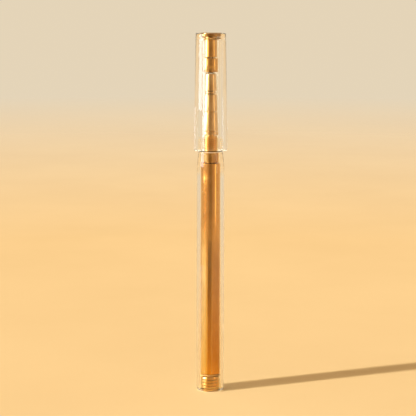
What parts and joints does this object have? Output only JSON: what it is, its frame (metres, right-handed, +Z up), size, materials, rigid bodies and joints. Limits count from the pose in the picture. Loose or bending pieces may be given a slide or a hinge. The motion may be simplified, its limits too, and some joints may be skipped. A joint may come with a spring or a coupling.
{
  "type": "glass dip pen",
  "caption": "Clear glass dip pen with a screw-on clear cap, gold-toned nib holder, liner tube, threaded end plug and a guarded glass nib.",
  "frame": {"origin": "centre of the barrel's flat base, on the surface that the pen stands on", "axes": "+Z up along the pen's axis from the barrel's base to the cap's finial; +X to the right in the front view, +Y to the back"},
  "size_m": [0.013, 0.013, 0.14],
  "materials": {
    "clear_shell": "polished clear",
    "nib_glass": "polished clear",
    "polished_gold": "polished gold plate",
    "satin_gold": "satin gold plate",
    "dark_seal": "matte",
    "pale_seal": "matte"
  },
  "bodies": {
    "barrel": {"barrel_shell": "clear_shell", "liner_tube": "satin_gold"},
    "plug_thread": {"plug_seal_ring": "dark_seal"},
    "plug": {"end_plug": "polished_gold"},
    "section": {"section_core": "polished_gold", "section_collar": "polished_gold", "section_seal_ring": "dark_seal", "flange_ring": "polished_gold", "holder_rear_cone": "polished_gold", "holder_front_cone": "polished_gold", "holder_groove_ring": "polished_gold", "nib_ferrule": "polished_gold", "nib_sleeve": "pale_seal", "glass_nib": "nib_glass"},
    "cap_draw": {"nib_guard_liner": "pale_seal"},
    "cap_thread": {"finial_washer": "pale_seal"},
    "cap": {"cap_shell": "clear_shell", "cap_finial": "polished_gold", "finial_stud": "satin_gold", "nib_guard_stem": "polished_gold", "nib_guard_collar": "polished_gold"}
  },
  "joints": [
    {"name": "plug_drop", "type": "slide", "parent": "barrel", "child": "plug_thread", "axis": [0, 0, -1], "range_m": [0, 0.00875]},
    {"name": "plug_turn", "type": "hinge", "parent": "plug_thread", "child": "plug", "pos_m": [0, 0, 0.0033], "axis": [0, 0, -1], "range_deg": [0, 2521]},
    {"name": "section_pull", "type": "slide", "parent": "barrel", "child": "section", "axis": [0, 0, 1], "range_m": [0, 0.012]},
    {"name": "cap_pull", "type": "slide", "parent": "section", "child": "cap_draw", "axis": [0, 0, 1], "range_m": [0, 0.045]},
    {"name": "cap_rise", "type": "slide", "parent": "cap_draw", "child": "cap_thread", "axis": [0, 0, 1], "range_m": [0, 0.006]},
    {"name": "cap_turn", "type": "hinge", "parent": "cap_thread", "child": "cap", "pos_m": [0, 0, 0.0976], "axis": [0, 0, 1], "range_deg": [0, 901]}
  ],
  "couplings": [
    {"joint": "plug_turn", "follows": "plug_drop", "rad_per_m": 5026.5},
    {"joint": "cap_turn", "follows": "cap_rise", "rad_per_m": 2618}
  ]
}
